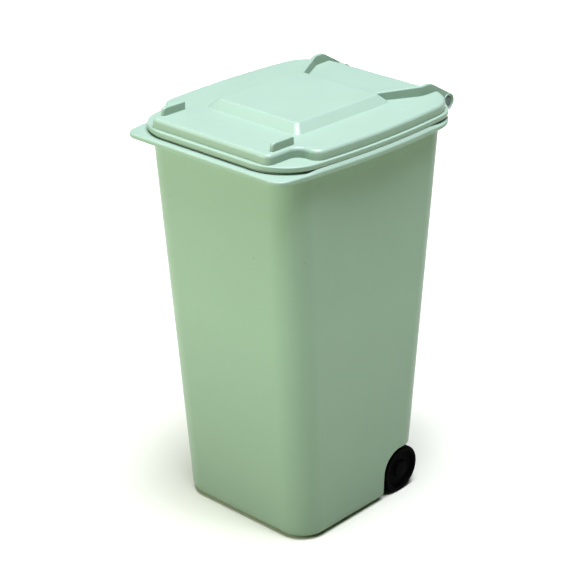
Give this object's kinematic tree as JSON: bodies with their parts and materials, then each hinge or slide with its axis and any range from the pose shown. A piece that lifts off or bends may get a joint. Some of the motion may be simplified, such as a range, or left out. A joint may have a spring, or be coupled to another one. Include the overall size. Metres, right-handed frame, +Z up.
{
  "type": "desktop trash can",
  "caption": "Small desktop trash can shaped like a wheelie bin: tapered plastic tub with a rim flange, a stepped lid hinged at the rear and black wheels at the rear base.",
  "frame": {"origin": "on the floor, at the middle of the bounding box's base", "axes": "+Z up, the front of the bin towards -Y, the hinge and wheels towards +Y, the hinge axis and axle along X"},
  "size_m": [0.077, 0.099, 0.1512],
  "materials": {
    "mint_plastic": "smooth moulded, semi-gloss",
    "pin_plastic": "moulded, satin",
    "black_plastic": "moulded, satin",
    "axle_steel": "drawn wire"
  },
  "bodies": {
    "bin": {"bin_body": "mint_plastic", "hinge_pin_left": "pin_plastic", "hinge_pin_right": "pin_plastic"},
    "lid": {"lid": "mint_plastic"},
    "wheelset": {"wheel_axle": "axle_steel", "wheel_left": "black_plastic", "wheel_right": "black_plastic"}
  },
  "joints": [
    {"name": "lid_hinge", "type": "hinge", "parent": "bin", "child": "lid", "pos_m": [0, 0.0465, 0.1424], "axis": [-1, 0, 0], "range_deg": [0, 260]},
    {"name": "wheel_roll", "type": "hinge", "parent": "bin", "child": "wheelset", "pos_m": [0, 0.0229, 0.0088], "axis": [1, 0, 0], "continuous": true}
  ]
}
